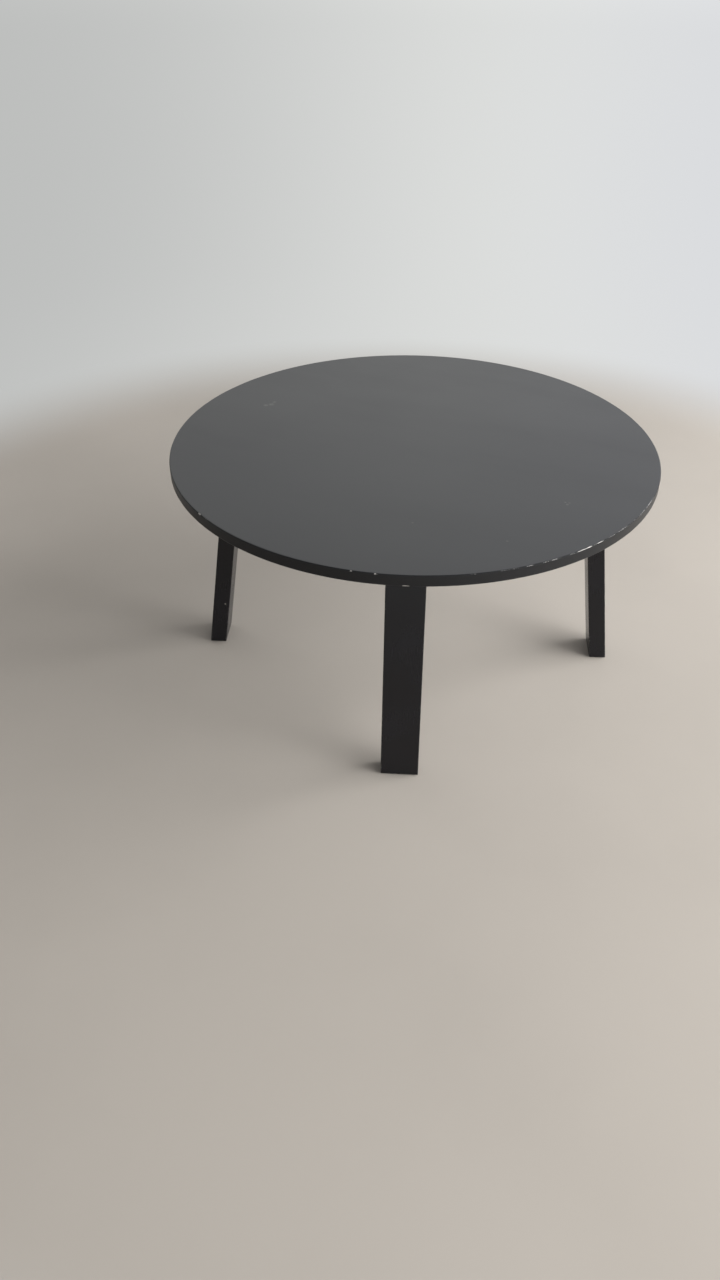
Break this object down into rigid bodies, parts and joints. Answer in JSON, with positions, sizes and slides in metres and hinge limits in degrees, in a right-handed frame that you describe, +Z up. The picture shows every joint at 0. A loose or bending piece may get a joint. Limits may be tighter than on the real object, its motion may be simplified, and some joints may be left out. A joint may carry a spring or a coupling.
{
  "type": "coffee table",
  "caption": "Low round coffee table: a thin black lacquered disc on splayed plank legs, bolted and dowelled to half-lapped cross rails under the top.",
  "frame": {"origin": "on the floor, under the middle of the round top, at the glides' underside", "axes": "+Z up through the middle of the top, -Y towards the front leg, +X towards the right leg"},
  "size_m": [0.8, 0.8, 0.4],
  "materials": {
    "top_lacquer": "satin black lacquer on board, worn at the edge",
    "leg_lacquer": "satin black lacquer on solid wood",
    "rail_lacquer": "thin matt black lacquer on solid wood",
    "beech": "bare fluted beech",
    "zinc_plated_steel": "bright zinc plate",
    "blackened_steel": "black zinc plate",
    "black_nylon": "moulded, slightly rough"
  },
  "bodies": {
    "root": {"tabletop": "top_lacquer", "left_right_rail": "rail_lacquer", "front_back_rail": "rail_lacquer", "front_leg": "leg_lacquer", "front_lower_dowel": "beech", "front_upper_dowel": "beech", "front_leg_bolt": "blackened_steel", "front_barrel_nut": "zinc_plated_steel", "front_inner_top_screw": "zinc_plated_steel", "front_outer_top_screw": "zinc_plated_steel", "front_glide": "black_nylon", "front_glide_screw": "zinc_plated_steel", "right_leg": "leg_lacquer", "right_lower_dowel": "beech", "right_upper_dowel": "beech", "right_leg_bolt": "blackened_steel", "right_barrel_nut": "zinc_plated_steel", "right_inner_top_screw": "zinc_plated_steel", "right_outer_top_screw": "zinc_plated_steel", "right_glide": "black_nylon", "right_glide_screw": "zinc_plated_steel", "back_leg": "leg_lacquer", "back_lower_dowel": "beech", "back_upper_dowel": "beech", "back_leg_bolt": "blackened_steel", "back_barrel_nut": "zinc_plated_steel", "back_inner_top_screw": "zinc_plated_steel", "back_outer_top_screw": "zinc_plated_steel", "back_glide": "black_nylon", "back_glide_screw": "zinc_plated_steel", "left_leg": "leg_lacquer", "left_lower_dowel": "beech", "left_upper_dowel": "beech", "left_leg_bolt": "blackened_steel", "left_barrel_nut": "zinc_plated_steel", "left_inner_top_screw": "zinc_plated_steel", "left_outer_top_screw": "zinc_plated_steel", "left_glide": "black_nylon", "left_glide_screw": "zinc_plated_steel"}
  },
  "joints": []
}
